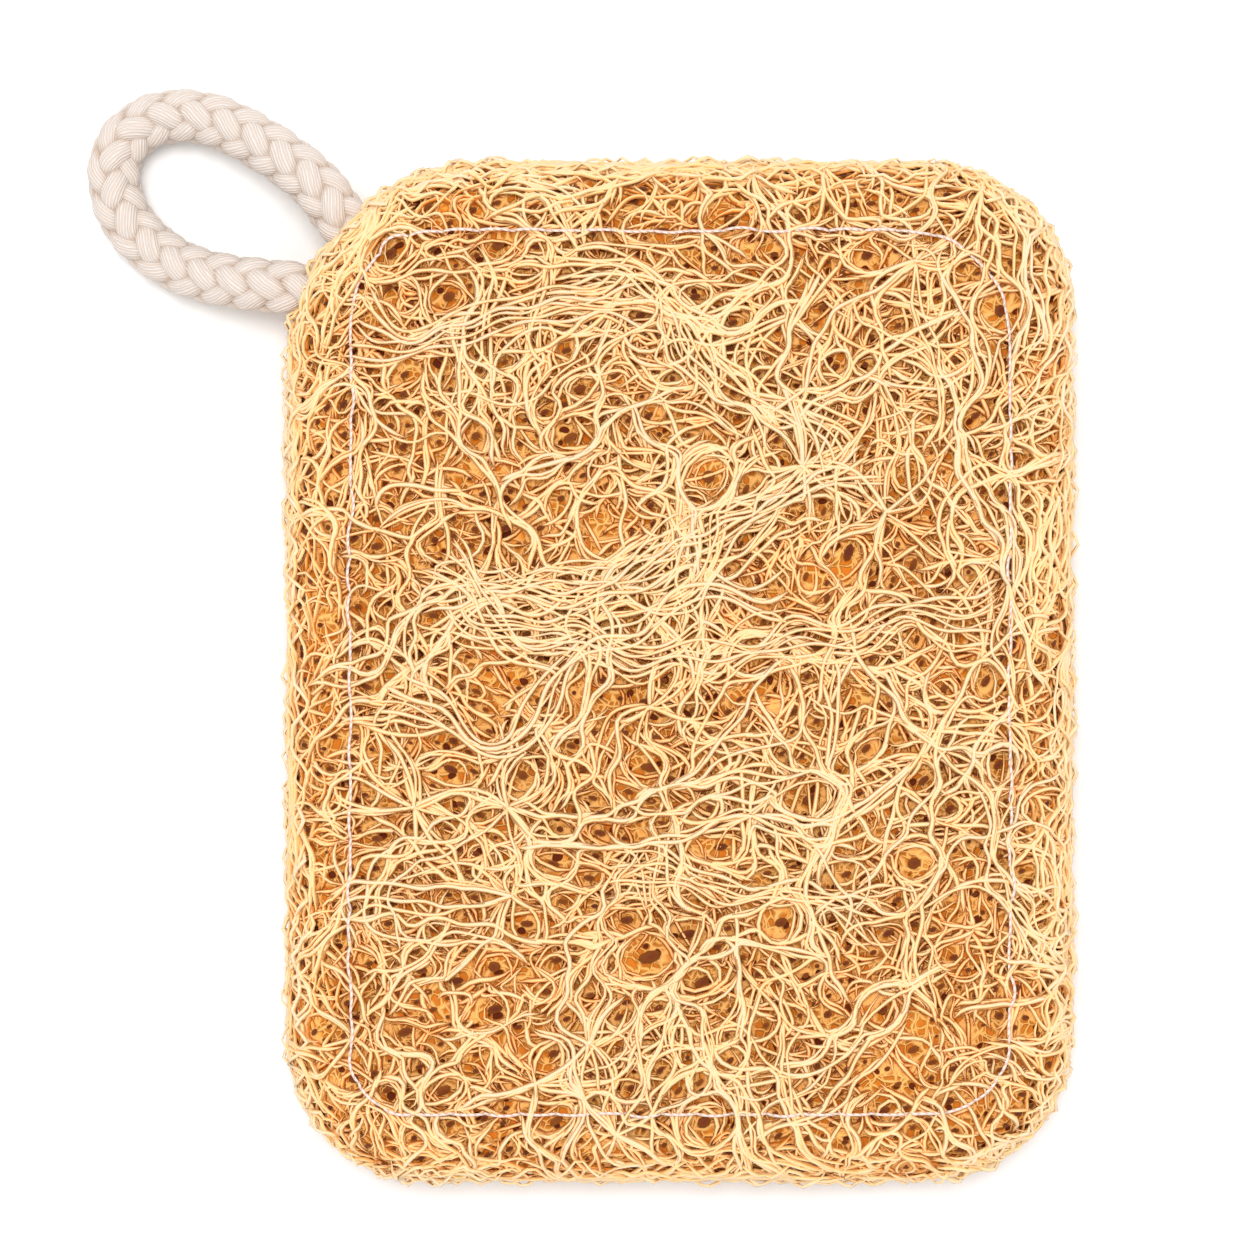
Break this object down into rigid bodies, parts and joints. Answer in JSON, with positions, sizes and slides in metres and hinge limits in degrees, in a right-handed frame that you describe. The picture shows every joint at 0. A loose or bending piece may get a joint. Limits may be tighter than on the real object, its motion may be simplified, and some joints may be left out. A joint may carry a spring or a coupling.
{
  "type": "natural loofah sponge",
  "caption": "Flat rounded pad of netted loofah fibre with a stitched border and a braided cotton hanging loop at one corner.",
  "frame": {"origin": "middle of the pad's back face, on the surface it lies on", "axes": "+Z out of the front face, +Y along the pad towards the end that the hanging loop leaves, +X to the right when the front is seen with the loop at the upper left"},
  "size_m": [0.1255, 0.1393, 0.02],
  "materials": {
    "loofah_fibre": "matte",
    "cotton_braid": "matte",
    "sewing_thread": "satin"
  },
  "bodies": {
    "root": {"loofah_pad": "loofah_fibre", "hanging_loop": "cotton_braid", "needle_thread_front": "sewing_thread", "bobbin_thread_back": "sewing_thread"}
  },
  "joints": []
}
